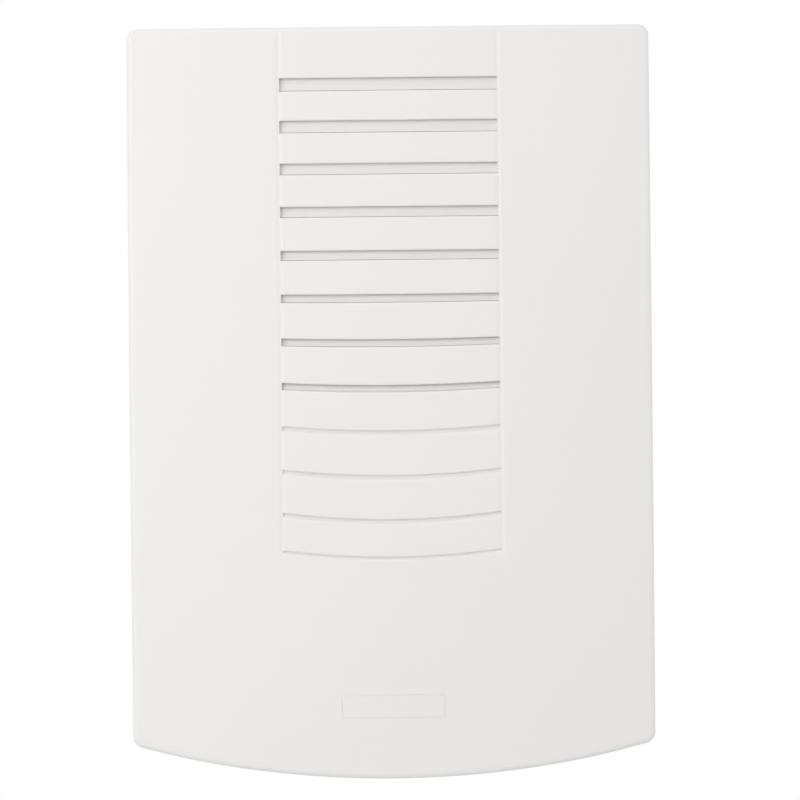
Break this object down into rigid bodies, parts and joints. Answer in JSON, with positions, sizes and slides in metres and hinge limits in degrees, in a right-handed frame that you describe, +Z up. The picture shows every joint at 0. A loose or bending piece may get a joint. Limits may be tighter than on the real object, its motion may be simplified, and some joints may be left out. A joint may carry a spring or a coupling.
{
  "type": "doorbell chime box",
  "caption": "Wall-mounted two-note doorbell chime: pull-off slatted cover over tone bars, a sprung solenoid striker and terminals.",
  "frame": {"origin": "middle of the base's back face, on the wall", "axes": "+X to the right seen from the room, +Y into the wall, +Z up"},
  "size_m": [0.108, 0.044, 0.155],
  "materials": {
    "cover_plastic": "fine satin, moulded white",
    "base_plastic": "moulded white",
    "bar_steel": "bright zinc plate",
    "grommet_rubber": "soft black",
    "cap_nylon": "natural nylon",
    "bobbin_nylon": "natural nylon",
    "winding_enamel": "enamelled copper",
    "coil_tape": "clear amber film",
    "tinned_metal": "tinned",
    "yoke_steel": "zinc plate",
    "screw_steel": "zinc plate",
    "core_iron": "ground iron",
    "tip_nylon": "natural nylon",
    "spring_steel": "drawn spring wire",
    "terminal_plastic": "moulded, off-white",
    "clamp_brass": "machined",
    "lead_insulation": "PVC sleeve"
  },
  "bodies": {
    "base": {"back_base": "base_plastic", "tone_bar_low": "bar_steel", "tone_bar_high": "bar_steel", "bar_grommets_left": "grommet_rubber", "bar_grommets_right": "grommet_rubber", "bar_retainers": "cap_nylon", "coil_bobbin": "bobbin_nylon", "coil_winding": "winding_enamel", "coil_tape": "coil_tape", "coil_tags": "tinned_metal", "yoke_frame": "yoke_steel", "yoke_screws": "screw_steel", "return_spring": "spring_steel", "terminal_body": "terminal_plastic", "terminal_clamps": "clamp_brass", "terminal_screws": "screw_steel", "terminal_block_screw": "screw_steel", "coil_lead_left": "lead_insulation", "coil_lead_right": "lead_insulation"},
    "cover": {"front_cover": "cover_plastic"},
    "striker": {"plunger_core": "core_iron", "striker_tip_left": "tip_nylon", "striker_tip_right": "tip_nylon"}
  },
  "joints": [
    {"name": "cover_pull", "type": "slide", "parent": "base", "child": "cover", "axis": [0, -1, 0], "range_m": [0, 0.06]},
    {"name": "striker_slide", "type": "slide", "parent": "base", "child": "striker", "axis": [1, 0, 0], "range_m": [-0.00195, 0.00595], "stiffness_N_per_m": 100, "deforming": ["return_spring"]}
  ]
}
